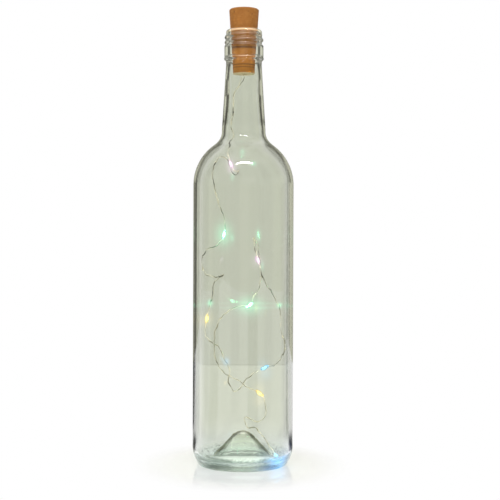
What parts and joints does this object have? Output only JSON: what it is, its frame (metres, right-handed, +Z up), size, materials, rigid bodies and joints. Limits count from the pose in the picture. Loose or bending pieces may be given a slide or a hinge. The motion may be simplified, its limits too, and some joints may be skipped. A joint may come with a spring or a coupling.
{
  "type": "cork bottle light",
  "caption": "Clear wine bottle closed by a cork-shaped battery stopper, with coloured light beads on a thin wire hanging inside it.",
  "frame": {"origin": "centre of the ring that the bottle stands on, on the table plane", "axes": "+Z up along the bottle's axis, +Y away from the picture's camera, +X to its right"},
  "size_m": [0.075, 0.075, 0.3404],
  "materials": {
    "glass": "clear with a faint grey-green tint",
    "cork": "fine cork grain",
    "wire": "bright enamelled wire",
    "led_pink": "clear drop, lit",
    "led_green": "clear drop, lit",
    "led_yellow": "clear drop, lit",
    "led_blue": "clear drop, lit",
    "potting": "matte",
    "contact": "bright",
    "cell": "polished",
    "spring": "bright",
    "board": "solder mask",
    "collar": "matte",
    "black_plastic": "matte"
  },
  "bodies": {
    "glass": {"bottle": "glass", "light_wire": "wire", "led_bead_1": "led_pink", "led_bead_2": "led_green", "led_bead_3": "led_yellow", "led_bead_4": "led_blue", "led_bead_5": "led_pink", "led_bead_6": "led_green", "led_bead_7": "led_yellow", "led_bead_8": "led_blue"},
    "stopper": {"stopper_body": "cork", "wire_plug": "potting", "end_contact": "contact", "cell_1": "cell", "cell_2": "cell", "cell_3": "cell", "side_strip": "contact"},
    "head": {"head_shell": "cork", "board_collar": "collar", "circuit_board": "board", "ring_contact": "contact", "contact_spring": "spring", "switch_body": "black_plastic", "resistor": "black_plastic", "timer_chip": "black_plastic"},
    "button": {"push_button": "black_plastic", "switch_plunger": "black_plastic"}
  },
  "joints": [
    {"name": "stopper_lift", "type": "slide", "parent": "glass", "child": "stopper", "axis": [0, 0, 1], "range_m": [0, 0.06]},
    {"name": "head_lift", "type": "slide", "parent": "stopper", "child": "head", "axis": [0, 0, 1], "range_m": [0, 0.03]},
    {"name": "button_press", "type": "slide", "parent": "head", "child": "button", "axis": [0, 0, -1], "range_m": [0, 0.0006], "stiffness_N_per_m": 500, "springref_m": -0.0002}
  ]
}
